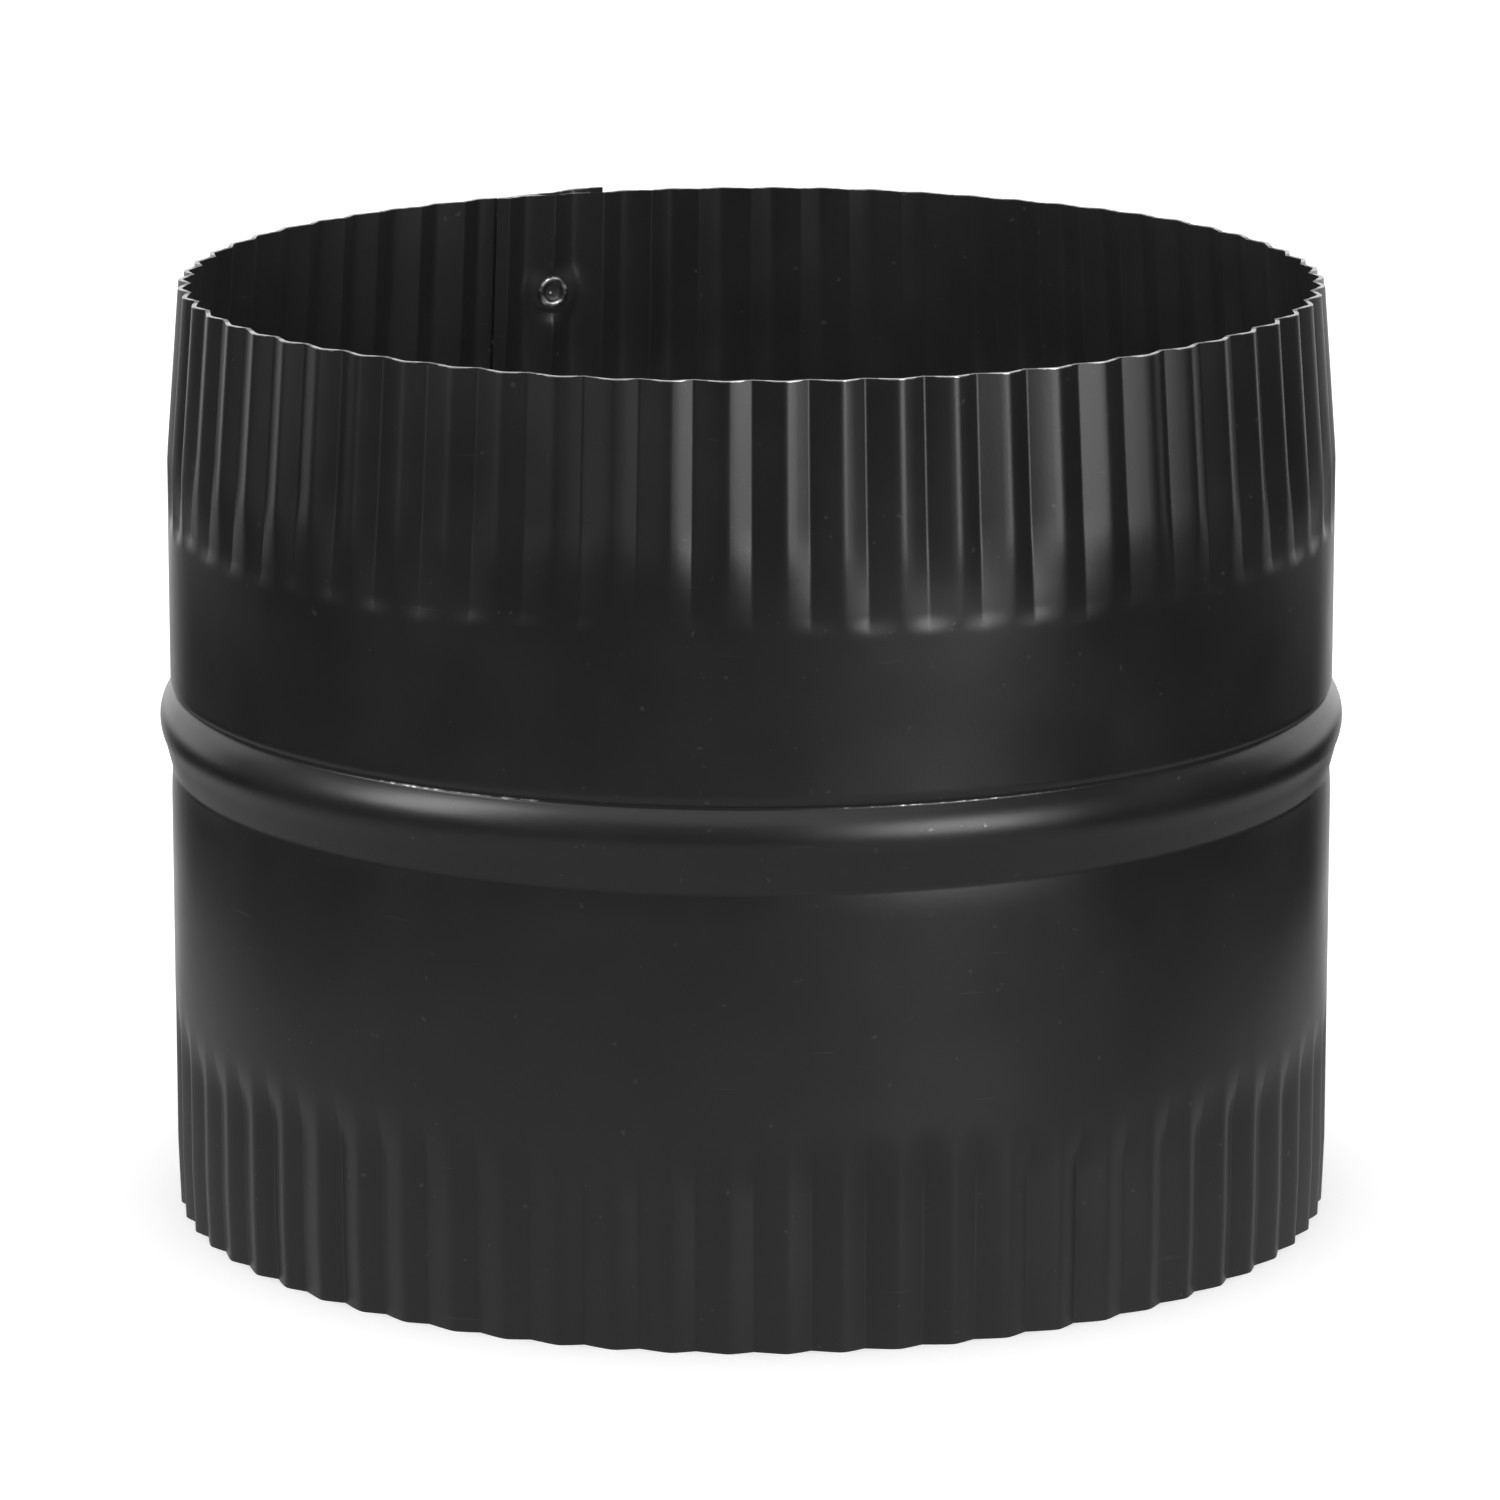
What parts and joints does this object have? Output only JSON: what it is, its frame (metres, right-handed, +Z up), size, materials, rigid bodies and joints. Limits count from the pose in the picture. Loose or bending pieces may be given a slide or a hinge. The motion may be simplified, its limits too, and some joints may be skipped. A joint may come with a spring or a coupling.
{
  "type": "stove pipe starter",
  "caption": "Short round collar of black sheet steel, crimped at both ends with a rolled stop bead between, that joins a stove outlet to its flue pipe.",
  "frame": {"origin": "centre of the lower rim, on the collar's axis", "axes": "+Z up the axis from the lower rim to the upper one, -Y towards the side opposite the lap seam"},
  "size_m": [0.1546, 0.1546, 0.1229],
  "materials": {
    "black_steel": "satin black stove paint on sheet steel, with bare bright cut edges and small scuffs"
  },
  "bodies": {
    "root": {"starter_collar": "black_steel"}
  },
  "joints": []
}
